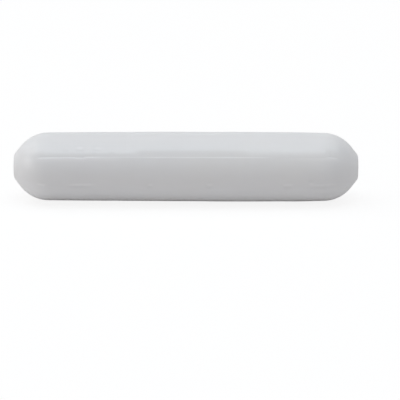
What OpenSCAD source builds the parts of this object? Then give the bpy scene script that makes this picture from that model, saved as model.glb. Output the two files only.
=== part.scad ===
// Magnetic stir bar: a round alnico magnet sealed in one moulded PTFE jacket.
//
// The bar lies along X with its middle at the origin, and +Z is up.
// The jacket is one revolved outline, tangent all the way from the land to the cones:
// a straight land at mid length, a crowned flank each side of it, a rounded shoulder,
// a cone and a small flat with a softened edge at each tip.

/* [Bar] */
// Length of the bar from tip to tip
bar_l = 40; // [30:1:70]
// Largest diameter, on the straight land at mid length
body_d = 8.1; // [7.8:0.1:12]

/* [Barrel] */
// Length of the straight land at mid length
land_l = 12; // [6:1:18]
// Fall in radius that the crown has from the land to the tip
crown_drop = 0.18; // [0.05:0.01:0.3]

/* [Nose] */
// Radius that rounds each shoulder
shoulder_r = 4.1; // [3:0.1:4.4]
// Angle between the cone at each tip and the bar's axis
cone_angle = 52; // [48:1:56]
// Length of that cone along the axis
cone_l = 0.8; // [0.4:0.1:1]
// Radius that softens the edge between the cone and the flat
tip_round = 0.6; // [0.4:0.1:0.7]

/* [Magnet] */
// Plastic over the magnet's side, at the land
side_wall = 1.05; // [0.9:0.05:2]
// Plastic between the magnet's end face and the tip
end_wall = 3; // [2.8:0.1:5]
// Chamfer round each end face of the magnet
magnet_chamfer = 0.3; // [0.1:0.05:0.6]

/* [Hidden] */
$fn = 180;

// Outline points are [r, y]: distance from the axis, and height along it from mid length
body_r = body_d / 2;
tip_y = bar_l / 2;
land_y = land_l / 2;

// Point at an angle round a circle, 0 being straight out from the axis
function around(centre, radius, angle) = centre + radius * [cos(angle), sin(angle)];

// The crown is an arc that leaves the land at a tangent
crown_l = tip_y - land_y;
crown_r = (pow(crown_l, 2) + pow(crown_drop, 2)) / (2 * crown_drop);
crown_c = [body_r - crown_r, land_y];
crown_steps = 10;

// The shoulder is an arc that touches the crown's arc from inside
shoulder_c_y = tip_y - cone_l - shoulder_r * sin(cone_angle);
shoulder_slope = asin((shoulder_c_y - land_y) / (crown_r - shoulder_r));
shoulder_c = [crown_c[0] + (crown_r - shoulder_r) * cos(shoulder_slope), shoulder_c_y];

// The cone leaves the shoulder at a tangent, and its edge with the flat tip is rounded
cone_start = around(shoulder_c, shoulder_r, cone_angle);
tip_edge = cone_start + cone_l * [-tan(cone_angle), 1];
tip_round_c = tip_edge - tip_round * [tan(45 - cone_angle / 2), 1];
cone_end = around(tip_round_c, tip_round, cone_angle);

// The plastic is moulded round the magnet, so the magnet fills its cavity
magnet_r = body_r - side_wall;
magnet_end_y = tip_y - end_wall;

// The part of a flat shape that lies between two heights
module between(low, high) {
    intersection() {
        children();
        translate([0, low]) square([body_r, high - low]);
    }
}

// The jacket's outline from the far end of the land to one tip: a polygon whose chords
// close off the shoulder and the tip's edge, with the two arcs laid over them
module half_outline() {
    crown = [
        for (step = [0:crown_steps])
            around(crown_c, crown_r, shoulder_slope * step / crown_steps)
    ];
    foot = [[0, -land_y], [body_r, -land_y]];
    flat = [[tip_round_c[0], tip_y], [0, tip_y]];
    polygon(concat(foot, crown, [cone_start, cone_end], flat));
    between(crown[crown_steps][1], cone_start[1])
        translate(shoulder_c) circle(shoulder_r);
    between(cone_end[1], tip_y)
        translate(tip_round_c) circle(tip_round);
}

// Both halves of the outline
module outline() {
    half_outline();
    mirror([0, 1, 0]) half_outline();
}

// Lays a shape that stands along Z down along X
module lay_down() {
    rotate([0, 90, 0]) children();
}

// Round rod with a chamfer at each end
module magnet_rod() {
    end_r = magnet_r - magnet_chamfer;
    side_y = magnet_end_y - magnet_chamfer;
    rotate_extrude()
        polygon([
            [0, -magnet_end_y],
            [end_r, -magnet_end_y],
            [magnet_r, -side_y],
            [magnet_r, side_y],
            [end_r, magnet_end_y],
            [0, magnet_end_y]
        ]);
}

module ptfe_jacket() {
    color([0.93, 0.93, 0.94])
        lay_down() difference() {
            rotate_extrude() outline();
            magnet_rod();
        }
}

module magnet_core() {
    color([0.42, 0.42, 0.44])
        lay_down() magnet_rod();
}

ptfe_jacket();
magnet_core();
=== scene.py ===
import math
import random

import bmesh
import bpy
import numpy as np
from mathutils import Matrix, Vector


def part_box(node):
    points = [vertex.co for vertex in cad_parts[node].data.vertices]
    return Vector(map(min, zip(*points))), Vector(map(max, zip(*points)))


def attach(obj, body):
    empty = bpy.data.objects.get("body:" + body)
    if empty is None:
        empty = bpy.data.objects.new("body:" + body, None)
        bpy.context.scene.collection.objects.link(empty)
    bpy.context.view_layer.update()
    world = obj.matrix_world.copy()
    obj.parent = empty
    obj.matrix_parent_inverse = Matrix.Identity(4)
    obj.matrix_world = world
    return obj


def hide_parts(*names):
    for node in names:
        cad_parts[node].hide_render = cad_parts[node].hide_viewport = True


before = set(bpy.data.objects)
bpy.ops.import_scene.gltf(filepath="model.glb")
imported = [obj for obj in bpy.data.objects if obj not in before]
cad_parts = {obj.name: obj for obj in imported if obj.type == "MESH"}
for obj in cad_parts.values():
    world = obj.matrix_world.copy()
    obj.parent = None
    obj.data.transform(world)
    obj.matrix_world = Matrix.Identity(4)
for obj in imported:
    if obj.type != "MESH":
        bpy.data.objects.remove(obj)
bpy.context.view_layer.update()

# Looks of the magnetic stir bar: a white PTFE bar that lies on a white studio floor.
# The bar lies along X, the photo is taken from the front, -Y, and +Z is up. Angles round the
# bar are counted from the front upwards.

# ---------------------------------------------------------------- sizes, in metres
# The frame gives the overall sizes. The rest of the outline repeats the CAD's own values.
JACKET_LOW, JACKET_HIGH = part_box("ptfe_jacket")
MAGNET_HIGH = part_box("magnet_core")[1]
HALF_L = JACKET_HIGH.x
BODY_R = JACKET_HIGH.z
LAND_L = 0.012
CROWN_DROP = 0.00018
SHOULDER_R = 0.0041
CONE_ANGLE = math.radians(52)
CONE_L = 0.0008
TIP_ROUND = 0.0006
MAGNET_CHAMFER = 0.0003

# How finely the skin is divided: steps along each part of half the outline, and runs round
# the axis in degrees, (start, end, steps), close together on the mould line and the marks
LAND_STEPS = 30
CROWN_STEPS = 50
SHOULDER_STEPS = 46
CONE_STEPS = 6
TIP_STEPS = 8
FLAT_STEPS = 5
ANGLE_RUNS = (
    (-30, -17.5, 16),
    (-17.5, -8.5, 30),
    (-8.5, 30, 28),
    (30, 35.5, 26),
    (35.5, 56, 28),
    (56, 209, 66),
    (209, 216, 24),
    (216, 330, 54),
)
CAVITY_STEPS = 96
# Points nearer to the axis than this lie on it
ON_AXIS = 1e-9

# ---------------------------------------------------------------- relief of the skin, in metres
# The mould line runs along both sides, in one plane through the axis. It is a tiny ledge:
# the surface is set back just above it, and comes out again further up.
SEAM_ANGLE = math.radians(32.6)
SEAM_SIDES = (SEAM_ANGLE, SEAM_ANGLE + math.pi)
SEAM_W = 0.00020
SEAM_H = 0.000042
SEAM_REACH = 0.0042
# Stretches where the line shows, between worn ones: (share of its height, range along X over
# which it starts, range over which it ends). Where two of them overlap, their shares add up.
SEAM_STRETCHES = (
    (0.5, (-0.0174, -0.0167), (-0.0110, -0.0100)),
    (0.5, (-0.0174, -0.0167), (0.0086, 0.0101)),
    (0.8, (0.0160, 0.0166), (0.0170, 0.0176)),
)
# A sharper spot on it: (middle along X, length, share added)
SEAM_SPOT = (-0.0109, 0.0016, 0.6)
# At the -X end the line lies a little below its plane. From there it takes small steps,
# (range along X, change of its lowering), and it wavers as far as WAVER_END.
SEAM_LOWERED = 0.000085
WAVER_END = (-0.0118, -0.0115)
SEAM_STEPS = (
    ((-0.0147, -0.0144), -0.000035),
    ((-0.0129, -0.0127), 0.000060),
    (WAVER_END, -0.000110),
    ((0.0145, 0.0160), -0.000020),
)
WAVER_H = 0.00002
WAVER_LENGTH = 0.009
WAVER_SEED = 5
# Towards both ends the skin is a little paler for a short way below the line. The
# ranges along X are those over which each paler stretch starts and ends.
BELOW_LINE_TONE = 0.050
BELOW_LINE_REACH = 0.00065
BELOW_LINE_STRETCHES = (
    ((-0.0174, -0.0167), (-0.0100, -0.0060)),
    ((0.0090, 0.0165), (0.0172, 0.0180)),
)

# Stretches that are set back a little: (depth, ends along X, angles in degrees where the
# set-back starts, is full, begins to fade and ends). Along X each end fades over twice
# DIP_BLEND.
DIPS = (
    (0.00004, (-0.0056, 0.0069), (-30, 10, 35, 49)),
    (0.00006, (-0.0185, -0.0060), (38, 54, 66, 125)),
    (0.00002, (-0.0088, 0.0025), (-120, -95, -62, -40)),
)
DIP_BLEND = 0.0006

# Marks on the moulded surface: (middle along X, angle above the front, length, width,
# height, tone). Length and width are taken at half height. The tone is painted light: how much
# paler, as a painted highlight, or darker, as painted shade, the spot is drawn.
MARKS = (
    (-0.01230, math.radians(49.2), 0.00060, 0.00034, 0.000022, 0.060),
    (-0.01226, math.radians(44.5), 0.00100, 0.00030, 0.0, -0.050),
    (-0.01390, math.radians(44.5), 0.00060, 0.00030, 0.0, -0.030),
    (-0.01018, math.radians(48.4), 0.00070, 0.00030, 0.000015, 0.030),
    (-0.01020, math.radians(44.5), 0.00090, 0.00025, 0.0, -0.022),
    (-0.00850, math.radians(41.4), 0.00060, 0.00025, 0.000012, -0.035),
    (0.01435, math.radians(-6.8), 0.00050, 0.00025, 0.0, -0.035),
    (0.01440, math.radians(-12.8), 0.00040, 0.00026, 0.000030, 0.040),
)
# Short ledges in a row, low on the front, each with a painted highlight along its edge over
# painted shade at its foot: (middle along X, length, angle of the edge, tone of its painted
# highlight, tone of the painted shade at the foot)
LEDGES = (
    (-0.01665, 0.00100, math.radians(-15.9), 0.060, 0.0),
    (-0.01214, 0.00250, math.radians(-14.8), 0.060, -0.044),
    (-0.00424, 0.00060, math.radians(-14.6), 0.035, -0.038),
    (0.00267, 0.00060, math.radians(-14.6), 0.035, -0.038),
    (0.01170, 0.00100, math.radians(-14.8), 0.040, -0.036),
    (0.01550, 0.00290, math.radians(-15.2), 0.040, -0.030),
)
LEDGE_W = 0.00027
LEDGE_H = 0.000030
# Painted shade at each ledge's foot: how far below the edge it lies, and its width
PAINTED_SHADE_DROP = math.radians(5)
PAINTED_SHADE_W = 0.00040

# The skin's faint waves. Their highest crests rise to a little over WAVE_H, and the skin is
# sunk by WAVE_SINK times as much, so that they stay within the outline.
WAVE_H = 0.000006
WAVE_LENGTH = 0.020
WAVE_TURNS = 3
WAVE_SEED = 3
WAVE_SINK = 1.5
# The barrel isn't quite even: it is a little slimmer towards -X and fuller towards +X.
# (middle along X, length, height)
SWELLS = (
    (-0.00950, 0.0170, -0.000034),
    (0.01330, 0.0060, 0.000018),
)
# All relief fades out over this range towards each tip
RELIEF_FADE = (HALF_L - 0.0014, HALF_L - 0.0004)

# ---------------------------------------------------------------- camera
# The photo's side, the bar's length in it and the place of the bar's middle, in pixels
PHOTO_SIZE = 400
BAR_PIXELS = 343.75
CENTRE_PIXEL = (185.9, 166.6)
CAMERA_ELEVATION = math.radians(18)
CAMERA_DISTANCE = 0.35
CAMERA_ROLL = math.radians(0.15)
SENSOR_WIDTH = 36
CLIP_RANGE = (0.01, 10)
# What one pixel covers at the bar, in metres
PIXEL = 2 * HALF_L / BAR_PIXELS

# ---------------------------------------------------------------- light
# Soft boxes, all at one distance and turned to the bar: (name, azimuth, elevation, half the
# width, half the height, brightness, colour). The angles are in degrees: azimuth from the
# front towards +X, elevation from the front up over the zenith, and half the width and height
# as the bar sees them.
LAMP_DISTANCE = 1.0
COOL = (0.91, 1.01, 1.08)
WHITE = (1.00, 1.00, 1.00)
WARM = (1.02, 1.00, 0.98)
LAMPS = (
    ("top_lip", 0, 60, 10, 4, 1.20, COOL),
    ("top_edge", 0, 67, 10, 3, 2.20, COOL),
    ("top_front", 0, 73.5, 10, 3.5, 4.00, COOL),
    ("top_wide", 0, 87.5, 38, 10.5, 2.04, COOL),
    ("back_wide", 0, 111.5, 38, 13.5, 0.76, WHITE),
    ("left_card", -77, 20, 18, 8, 2.30, WARM),
    ("left_low", -68, 5, 22, 6, 2.00, WARM),
    ("back_left", -110, 45, 18, 15, 1.00, WARM),
    ("right_card", 75, 32, 18, 27, 0.40, WHITE),
)
DOME_STRENGTH = 0.222
DOME_COLOUR = (1.05, 0.98, 0.97)
FLOOR_RADIUS = 1.2
FLOOR_EDGES = 96
# The floor lights the bar as paper of this colour
FLOOR_BOUNCE = (0.81, 0.795, 0.79)
# Seen directly it is dull paper, which keeps the shadow, lifted to white by a glow of its
# own. Over this range from the middle it turns plain white.
FLOOR_PAPER = (0.16, 0.16, 0.16)
FLOOR_GLOW = 0.86
FLOOR_FADE = (0.15, 0.6)

# ---------------------------------------------------------------- finishes
PTFE_TONES = ((0.790, 0.790, 0.797), (0.80, 0.80, 0.805), (0.807, 0.805, 0.803))
ALNICO_TONES = ((0.24, 0.24, 0.25), (0.34, 0.34, 0.35), (0.42, 0.42, 0.42))
# Noise keeps near 0.5: nearly all of it lies in this range
NOISE_RANGE = (0.3, 0.7)
NOISE_ROUGHNESS = 0.55
# The wax's shine dies away over this range of slant, 1 being edge on
SHINE_FADE = (0.3, 0.8)


# ---------------------------------------------------------------- the jacket's outline
def arc(centre, radius, start, end, steps):
    """Points of an arc after its first, as (x, r, tilt of the surface from straight out)."""
    points = []
    for step in range(1, steps + 1):
        tilt = start + (end - start) * step / steps
        x = centre[0] + radius * math.sin(tilt)
        r = centre[1] + radius * math.cos(tilt)
        points.append((x, r, tilt))
    return points


def line(start, end, tilt, steps):
    """Points of a straight run after its first, in the same form."""
    points = []
    for step in range(1, steps + 1):
        share = step / steps
        x = start[0] + (end[0] - start[0]) * share
        r = start[1] + (end[1] - start[1]) * share
        points.append((x, r, tilt))
    return points


def half_outline():
    """The jacket's outline from mid length to the middle of one tip's flat."""
    land_x = LAND_L / 2
    crown_l = HALF_L - land_x
    crown_r = (crown_l ** 2 + CROWN_DROP ** 2) / (2 * CROWN_DROP)
    crown_c = (land_x, BODY_R - crown_r)
    shoulder_x = HALF_L - CONE_L - SHOULDER_R * math.sin(CONE_ANGLE)
    slope = math.asin((shoulder_x - land_x) / (crown_r - SHOULDER_R))
    shoulder_c = (shoulder_x, crown_c[1] + (crown_r - SHOULDER_R) * math.cos(slope))
    cone_r = shoulder_c[1] + SHOULDER_R * math.cos(CONE_ANGLE)
    tip_r = cone_r - CONE_L * math.tan(CONE_ANGLE)
    flat_r = tip_r - TIP_ROUND * math.tan((math.pi / 2 - CONE_ANGLE) / 2)
    tip_c = (HALF_L - TIP_ROUND, flat_r)
    cone_end_x = tip_c[0] + TIP_ROUND * math.sin(CONE_ANGLE)
    cone_end_r = tip_c[1] + TIP_ROUND * math.cos(CONE_ANGLE)

    points = [(0.0, BODY_R, 0.0)]
    points += line(points[-1], (land_x, BODY_R), 0.0, LAND_STEPS)
    points += arc(crown_c, crown_r, 0.0, slope, CROWN_STEPS)
    points += arc(shoulder_c, SHOULDER_R, slope, CONE_ANGLE, SHOULDER_STEPS)
    points += line(points[-1], (cone_end_x, cone_end_r), CONE_ANGLE, CONE_STEPS)
    points += arc(tip_c, TIP_ROUND, CONE_ANGLE, math.pi / 2, TIP_STEPS)
    points += line(points[-1], (HALF_L, 0.0), math.pi / 2, FLAT_STEPS)
    return points


def angles_round():
    """Angles of the skin's points round the axis."""
    runs = [np.linspace(start, end, steps, endpoint=False) for start, end, steps in ANGLE_RUNS]
    return np.radians(np.concatenate(runs))


# ---------------------------------------------------------------- marks on the surface
def ripple(x, angle, seed, longest, turns, count=7):
    """Smooth noise, mostly from -1 to 1: waves of `longest` to `longest` / count along X."""
    rng = random.Random(seed)
    total = np.zeros(np.broadcast(x, angle).shape)
    for number in range(1, count + 1):
        phase = rng.uniform(0, 2 * math.pi)
        around = rng.randint(-turns, turns)
        wave = np.sin(2 * math.pi * number * x / longest + around * angle + phase)
        total = total + wave / number ** 0.5
    return total / count ** 0.5


def bump(offset, width):
    """A rounded ridge that is 1 at its middle and 0 from half its width outwards."""
    share = np.clip(np.abs(offset) / (width / 2), 0, 1)
    return 0.5 + 0.5 * np.cos(math.pi * share)


def turned(angle, middle):
    """Angle from a place round the axis, from minus to plus half a turn."""
    return (angle - middle + math.pi) % (2 * math.pi) - math.pi


def ramp(value, low, high):
    """A smooth rise from 0 at one value to 1 at the other."""
    share = np.clip((value - low) / (high - low), 0, 1)
    return share * share * (3 - 2 * share)


def between(value, start, end):
    """1 between two ranges, rising smoothly over the first and falling over the second."""
    return ramp(value, *start) * (1 - ramp(value, *end))


def seam_lowering(x):
    """How far the mould line lies below its plane."""
    waver = WAVER_H * ripple(x, 0.0, WAVER_SEED, WAVER_LENGTH, 0)
    lowering = SEAM_LOWERED + waver * (1 - ramp(x, *WAVER_END))
    for reach, change in SEAM_STEPS:
        lowering = lowering + change * ramp(x, *reach)
    return lowering


def seam(x, angle):
    """Depth of the set-back above the mould line, along both sides."""
    middle, length, added = SEAM_SPOT
    share = added * bump(x - middle, length)
    for full, start, end in SEAM_STRETCHES:
        share = share + full * between(x, start, end)
    depth = 0
    for side in SEAM_SIDES:
        above = turned(angle, side) * BODY_R + seam_lowering(x)
        ledge = between(above, (-SEAM_W / 2, SEAM_W / 2), (SEAM_W, SEAM_REACH))
        depth = depth + SEAM_H * share * ledge
    return depth


def paler_below_line(x, angle):
    """How much paler the skin is for a short way below the mould line."""
    along = sum(between(x, start, end) for start, end in BELOW_LINE_STRETCHES)
    tone_and_painted_light = 0
    for side in SEAM_SIDES:
        above = turned(angle, side) * BODY_R + seam_lowering(x)
        below = between(above, (-BELOW_LINE_REACH, -SEAM_W / 2), (-SEAM_W / 2, 0))
        tone_and_painted_light = tone_and_painted_light + BELOW_LINE_TONE * along * below
    return tone_and_painted_light


def dips(x, angle):
    """Depth of the stretches that are set back."""
    depth = 0
    for deepest, ends, limits in DIPS:
        along = between(x, *((end - DIP_BLEND, end + DIP_BLEND) for end in ends))
        start, full, fade, stop = (math.radians(limit) for limit in limits)
        around = between(turned(angle, 0), (start, full), (fade, stop))
        depth = depth + deepest * along * around
    return depth


def spot(x, angle, place, middle, length, width):
    """1 at the middle of a mark, a half at the ends of its length and width, then 0."""
    along = ((x - place) / length) ** 2
    return bump(np.hypot(along, turned(angle, middle) * BODY_R / (2 * width)), 1.0)


def marks(x, angle):
    """Height of all the marks and ledges, and the skin's tone: a paler strip below the mould
    line, with painted highlights and painted shade at the marks and ledges.
    """
    height, tone_and_painted_light = 0, 1 + paler_below_line(x, angle)
    for place, middle, length, width, rise, painted_light in MARKS:
        share = spot(x, angle, place, middle, length, width)
        height = height + rise * share
        # Painted highlight or painted shade at the mark
        tone_and_painted_light = tone_and_painted_light + painted_light * share
    for place, length, middle, painted_light, painted_shade in LEDGES:
        share = spot(x, angle, place, middle, length, LEDGE_W)
        height = height + LEDGE_H * share
        # Painted highlight along the ledge's edge, and painted shade at its foot below
        tone_and_painted_light = tone_and_painted_light + painted_light * share
        tone_and_painted_light = tone_and_painted_light + painted_shade * spot(x, angle, place, middle - PAINTED_SHADE_DROP, length, PAINTED_SHADE_W)
    return height, tone_and_painted_light


def relief(x, angle):
    """Height of the moulded surface above the plain outline."""
    waves = ripple(x, angle, WAVE_SEED, WAVE_LENGTH, WAVE_TURNS)
    height = WAVE_H * (waves - WAVE_SINK)
    height = height - dips(x, angle) - seam(x, angle) + marks(x, angle)[0]
    for middle, length, rise in SWELLS:
        height = height + rise * bump(x - middle, length)
    return height * (1 - ramp(np.abs(x), *RELIEF_FADE))


# ---------------------------------------------------------------- meshes
def revolved(profile, angles, surface=None):
    """Vertices and faces of a closed body round X, from points (x, r, tilt) tip to tip."""
    rings = [point for point in profile if point[1] > ON_AXIS]
    x, r, tilt = (np.array(column)[:, None] for column in zip(*rings))
    height = surface(x, angles[None, :]) if surface else 0.0
    out_x = x + height * np.sin(tilt)
    out_r = r + height * np.cos(tilt)
    shape = np.broadcast(out_r, angles[None, :]).shape
    points = np.stack([
        np.broadcast_to(out_x, shape),
        -out_r * np.cos(angles)[None, :],
        out_r * np.sin(angles)[None, :],
    ], axis=-1).reshape(-1, 3)
    count = len(angles)
    verts = [tuple(p) for p in points] + [(profile[0][0], 0.0, 0.0), (profile[-1][0], 0.0, 0.0)]
    faces = []
    for ring in range(len(rings) - 1):
        for step in range(count):
            a = ring * count + step
            b = ring * count + (step + 1) % count
            faces.append((a, a + count, b + count, b))
    first, last = len(verts) - 2, len(verts) - 1
    top = (len(rings) - 1) * count
    for step in range(count):
        after = (step + 1) % count
        faces.append((first, step, after))
        faces.append((last, top + after, top + step))
    return verts, faces


def mirrored(half):
    """A whole profile, tip to tip, from the half on the +X side."""
    return [(-x, r, -tilt) for x, r, tilt in half[:0:-1]] + half


def cavity_outline(count):
    """The sealed space that the magnet fills, as a profile whose flats clear the magnet."""
    grow = 1 / math.cos(math.pi / count)
    radius = MAGNET_HIGH.z * grow
    end = MAGNET_HIGH.x
    side_end = (end - MAGNET_CHAMFER, radius)
    face_edge = (end, radius - MAGNET_CHAMFER)
    half = [(0.0, radius), side_end, face_edge, (end, 0.0)]
    return mirrored([(x, r, 0.0) for x, r in half])


def make_object(name, verts, faces):
    mesh = bpy.data.meshes.new(name)
    mesh.from_pydata(verts, [], faces)
    mesh.polygons.foreach_set("use_smooth", [True] * len(mesh.polygons))
    mesh.update()
    obj = bpy.data.objects.new(name, mesh)
    bpy.context.scene.collection.objects.link(obj)
    return obj


def make_jacket():
    """The moulded sheath: its outer skin with all its marks, and the wall round the magnet."""
    profile, angles = mirrored(half_outline()), angles_round()
    verts, faces = revolved(profile, angles, relief)
    ring_x = np.array([x for x, r, tilt in profile if r > ON_AXIS])
    skin_tone_and_painted_light = marks(ring_x[:, None], angles[None, :])[1].ravel()
    cavity_angles = np.linspace(0, 2 * math.pi, CAVITY_STEPS, endpoint=False)
    inner_verts, inner_faces = revolved(cavity_outline(CAVITY_STEPS), cavity_angles)
    base = len(verts)
    verts += inner_verts
    faces += [tuple(base + index for index in reversed(face)) for face in inner_faces]
    jacket = make_object("moulded_jacket", verts, faces)
    # Tone per vertex: painted highlights and painted shade at the marks and ledges, and a paler
    # strip below the mould line; the wall round the magnet keeps 1
    tone_and_painted_light = np.ones(len(verts))
    tone_and_painted_light[:skin_tone_and_painted_light.size] = skin_tone_and_painted_light
    jacket.data.attributes.new("tone_and_painted_light", "FLOAT", "POINT").data.foreach_set("value", tone_and_painted_light)
    jacket.data.materials.append(ptfe_material())
    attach(jacket, "root")
    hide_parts("ptfe_jacket")


# ---------------------------------------------------------------- materials
def new_material(name):
    material = bpy.data.materials.new(name)
    material.use_nodes = True
    nodes = material.node_tree.nodes
    shader = nodes.get("Principled BSDF")
    return material, nodes, material.node_tree.links, shader


def noise(nodes, links, coords, size, detail, stretch=(1, 1, 1)):
    """Noise whose blobs are about `size` metres across, longer along an axis by `stretch`."""
    mapping = nodes.new("ShaderNodeMapping")
    mapping.inputs["Scale"].default_value = [1 / (size * s) for s in stretch]
    texture = nodes.new("ShaderNodeTexNoise")
    texture.inputs["Scale"].default_value = 1.0
    texture.inputs["Detail"].default_value = detail
    texture.inputs["Roughness"].default_value = NOISE_ROUGHNESS
    links.new(coords, mapping.inputs["Vector"])
    links.new(mapping.outputs["Vector"], texture.inputs["Vector"])
    return texture.outputs["Fac"]


def spread(nodes, links, value, low, high):
    """Maps noise onto the range from low to high."""
    remap = nodes.new("ShaderNodeMapRange")
    remap.inputs["From Min"].default_value = NOISE_RANGE[0]
    remap.inputs["From Max"].default_value = NOISE_RANGE[1]
    remap.inputs["To Min"].default_value = low
    remap.inputs["To Max"].default_value = high
    links.new(value, remap.inputs["Value"])
    return remap.outputs["Result"]


def tones(nodes, links, value, colours):
    """Turns noise into colours, through the given linear ones."""
    gradient = nodes.new("ShaderNodeValToRGB")
    elements = gradient.color_ramp.elements
    while len(elements) < len(colours):
        elements.new(0.5)
    low, high = NOISE_RANGE
    for number, colour in enumerate(colours):
        elements[number].position = low + (high - low) * number / (len(colours) - 1)
        elements[number].color = (*colour, 1)
    links.new(value, gradient.inputs["Fac"])
    return gradient.outputs["Color"]


def toned(nodes, links, colour):
    """The colour, paler or darker by the mesh's tone attribute: painted highlights and painted
    shade at the marks and ledges, and a paler strip below the mould line.
    """
    tone_and_painted_light = nodes.new("ShaderNodeAttribute")
    tone_and_painted_light.attribute_name = "tone_and_painted_light"
    scale = nodes.new("ShaderNodeVectorMath")
    scale.operation = "SCALE"
    links.new(colour, scale.inputs[0])
    links.new(tone_and_painted_light.outputs["Fac"], scale.inputs["Scale"])
    return scale.outputs["Vector"]


def waxy_gloss(nodes, links, face_on, grazing):
    """Specular level of a waxy skin, whose shine dies away where it is seen at a slant."""
    weight = nodes.new("ShaderNodeLayerWeight")
    remap = nodes.new("ShaderNodeMapRange")
    remap.inputs["From Min"].default_value = SHINE_FADE[0]
    remap.inputs["From Max"].default_value = SHINE_FADE[1]
    remap.inputs["To Min"].default_value = face_on
    remap.inputs["To Max"].default_value = grazing
    links.new(weight.outputs["Facing"], remap.inputs["Value"])
    return remap.outputs["Result"]


def relief_node(nodes, links, value, distance, below=None):
    """A bump from a height of `distance` metres, over another bump if one is given."""
    node = nodes.new("ShaderNodeBump")
    node.inputs["Strength"].default_value = 1.0
    node.inputs["Distance"].default_value = distance
    links.new(value, node.inputs["Height"])
    if below is not None:
        links.new(below, node.inputs["Normal"])
    return node.outputs["Normal"]


def ptfe_material():
    """White moulded PTFE: waxy satin, faintly mottled, with sparse fine scuffs along the bar."""
    material, nodes, links, shader = new_material("ptfe_white")
    coords = nodes.new("ShaderNodeTexCoord").outputs["Object"]
    cloud = noise(nodes, links, coords, size=0.006, detail=2.0, stretch=(1.6, 1, 1))
    grain = noise(nodes, links, coords, size=0.00035, detail=4.0)
    scuffs = noise(nodes, links, coords, size=0.00014, detail=2.0, stretch=(14, 1, 1))
    colour = tones(nodes, links, cloud, PTFE_TONES)
    # The mottled colour is scaled by the mesh's tone, which holds painted highlights and painted
    # shade at the marks and ledges
    links.new(toned(nodes, links, colour), shader.inputs["Base Color"])
    roughness = spread(nodes, links, grain, low=0.13, high=0.19)
    links.new(roughness, shader.inputs["Roughness"])
    skin = relief_node(nodes, links, grain, distance=0.0000008)
    scuffing = spread(nodes, links, scuffs, low=-1.5, high=1.0)
    scuffed = relief_node(nodes, links, scuffing, distance=0.0000003, below=skin)
    links.new(scuffed, shader.inputs["Normal"])
    gloss = waxy_gloss(nodes, links, face_on=0.5, grazing=0.0)
    links.new(gloss, shader.inputs["Specular IOR Level"])
    shader.inputs["IOR"].default_value = 1.35
    shader.inputs["Subsurface Weight"].default_value = 0.12
    shader.inputs["Subsurface Radius"].default_value = (1.0, 0.95, 0.9)
    shader.inputs["Subsurface Scale"].default_value = 0.0005
    return material


def alnico_material():
    """Cast and ground alnico: dull grey metal with a coarse grain."""
    material, nodes, links, shader = new_material("alnico_cast")
    coords = nodes.new("ShaderNodeTexCoord").outputs["Object"]
    grain = noise(nodes, links, coords, size=0.0006, detail=5.0)
    grinding = noise(nodes, links, coords, size=0.00008, detail=2.0, stretch=(1, 20, 20))
    links.new(tones(nodes, links, grain, ALNICO_TONES), shader.inputs["Base Color"])
    roughness = spread(nodes, links, grinding, low=0.38, high=0.60)
    links.new(roughness, shader.inputs["Roughness"])
    pits = relief_node(nodes, links, grain, distance=0.00002)
    ground = relief_node(nodes, links, grinding, distance=0.000004, below=pits)
    links.new(ground, shader.inputs["Normal"])
    shader.inputs["Metallic"].default_value = 1.0
    return material


def dress_magnet():
    """The magnet keeps its CAD mesh and gets a cast metal finish."""
    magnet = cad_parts["magnet_core"]
    magnet.material_slots[0].material = alnico_material()


# ---------------------------------------------------------------- studio
def seen_directly(nodes, links):
    """1 for rays that show the studio itself: camera, glossy and transmission rays."""
    path = nodes.new("ShaderNodeLightPath")
    first = nodes.new("ShaderNodeMath")
    first.operation = "MAXIMUM"
    links.new(path.outputs["Is Camera Ray"], first.inputs[0])
    links.new(path.outputs["Is Transmission Ray"], first.inputs[1])
    both = nodes.new("ShaderNodeMath")
    both.operation = "MAXIMUM"
    links.new(first.outputs[0], both.inputs[0])
    links.new(path.outputs["Is Glossy Ray"], both.inputs[1])
    return both.outputs[0]


def emission(nodes, strength):
    node = nodes.new("ShaderNodeEmission")
    node.inputs["Color"].default_value = (*WHITE, 1)
    node.inputs["Strength"].default_value = strength
    return node.outputs[0]


def diffuse(nodes, colour):
    node = nodes.new("ShaderNodeBsdfDiffuse")
    node.inputs["Color"].default_value = (*colour, 1)
    return node.outputs[0]


def joined(nodes, links, kind, first, second, share=None):
    """Mix or add two shaders."""
    node = nodes.new(kind)
    start = 1 if kind == "ShaderNodeMixShader" else 0
    links.new(first, node.inputs[start])
    links.new(second, node.inputs[start + 1])
    if share is not None:
        links.new(share, node.inputs["Fac"])
    return node.outputs[0]


def floor_material():
    """White paper, which shows as white but for the bar's shadow."""
    material, nodes, links, shader = new_material("white_sweep")
    nodes.remove(shader)
    coords = nodes.new("ShaderNodeTexCoord").outputs["Object"]
    reach = nodes.new("ShaderNodeVectorMath")
    reach.operation = "LENGTH"
    links.new(coords, reach.inputs[0])
    fade = nodes.new("ShaderNodeMapRange")
    fade.inputs["From Min"].default_value = FLOOR_FADE[0]
    fade.inputs["From Max"].default_value = FLOOR_FADE[1]
    links.new(reach.outputs["Value"], fade.inputs["Value"])
    paper = joined(
        nodes, links, "ShaderNodeAddShader",
        diffuse(nodes, FLOOR_PAPER), emission(nodes, FLOOR_GLOW),
    )
    shown = joined(
        nodes, links, "ShaderNodeMixShader",
        paper, emission(nodes, 1.0), fade.outputs["Result"],
    )
    whole = joined(
        nodes, links, "ShaderNodeMixShader",
        diffuse(nodes, FLOOR_BOUNCE), shown, seen_directly(nodes, links),
    )
    links.new(whole, nodes["Material Output"].inputs["Surface"])
    return material


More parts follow.
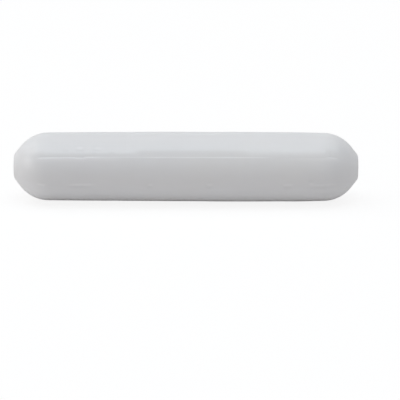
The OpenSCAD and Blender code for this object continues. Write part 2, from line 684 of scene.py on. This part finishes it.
def make_floor():
    mesh = bpy.data.meshes.new("floor")
    build = bmesh.new()
    bmesh.ops.create_circle(build, cap_ends=True, segments=FLOOR_EDGES, radius=FLOOR_RADIUS)
    build.to_mesh(mesh)
    build.free()
    floor = bpy.data.objects.new("floor", mesh)
    floor.location = (0, 0, JACKET_LOW.z)
    bpy.context.scene.collection.objects.link(floor)
    floor.data.materials.append(floor_material())


def make_world():
    """A pale dome for light, which shows as white."""
    world = bpy.data.worlds.new("studio")
    bpy.context.scene.world = world
    world.use_nodes = True
    nodes, links = world.node_tree.nodes, world.node_tree.links
    dome = nodes["Background"]
    dome.inputs["Color"].default_value = (*DOME_COLOUR, 1)
    dome.inputs["Strength"].default_value = DOME_STRENGTH
    white = nodes.new("ShaderNodeBackground")
    white.inputs["Color"].default_value = (*WHITE, 1)
    white.inputs["Strength"].default_value = 1.0
    whole = joined(
        nodes, links, "ShaderNodeMixShader",
        dome.outputs[0], white.outputs[0], seen_directly(nodes, links),
    )
    links.new(whole, nodes["World Output"].inputs["Surface"])


def make_lamp(name, azimuth, elevation, half_width, half_height, radiance, colour):
    """A soft box that faces the bar and shows it the given brightness."""
    turn = Matrix.Rotation(math.radians(azimuth), 3, "Z")
    across = turn @ Vector((1, 0, 0))
    rise = math.radians(elevation)
    away = turn @ Vector((0, -math.cos(rise), math.sin(rise)))
    data = bpy.data.lights.new(name, "AREA")
    data.shape = "RECTANGLE"
    data.size = 2 * LAMP_DISTANCE * math.tan(math.radians(half_width))
    data.size_y = 2 * LAMP_DISTANCE * math.tan(math.radians(half_height))
    data.energy = radiance * math.pi * data.size * data.size_y
    data.color = colour
    lamp = bpy.data.objects.new(name, data)
    lamp.location = away * LAMP_DISTANCE
    lamp.rotation_euler = Matrix((across, away.cross(across), away)).transposed().to_euler()
    bpy.context.scene.collection.objects.link(lamp)


def make_lights():
    for lamp in LAMPS:
        make_lamp(*lamp)


def make_camera():
    """A long lens at the photo's angle, with the bar at the photo's place in the frame."""
    back = Vector((0, -math.cos(CAMERA_ELEVATION), math.sin(CAMERA_ELEVATION)))
    up = Vector((0, math.sin(CAMERA_ELEVATION), math.cos(CAMERA_ELEVATION)))
    right = Vector((1, 0, 0))
    off_x = (PHOTO_SIZE / 2 - CENTRE_PIXEL[0]) * PIXEL
    off_y = (PHOTO_SIZE / 2 - CENTRE_PIXEL[1]) * PIXEL
    aim = right * off_x - up * off_y
    data = bpy.data.cameras.new("camera")
    data.sensor_width = SENSOR_WIDTH
    data.lens = SENSOR_WIDTH * CAMERA_DISTANCE / (PHOTO_SIZE * PIXEL)
    data.clip_start, data.clip_end = CLIP_RANGE
    camera = bpy.data.objects.new("camera", data)
    turn = (-back).to_track_quat("-Z", "Y").to_matrix() @ Matrix.Rotation(CAMERA_ROLL, 3, "Z")
    camera.rotation_euler = turn.to_euler()
    camera.location = aim + back * CAMERA_DISTANCE
    bpy.context.scene.collection.objects.link(camera)
    bpy.context.scene.camera = camera


# ---------------------------------------------------------------- the scene
make_camera()
make_jacket()
dress_magnet()
make_floor()
make_world()
make_lights()
bpy.context.scene.view_settings.view_transform = "Standard"
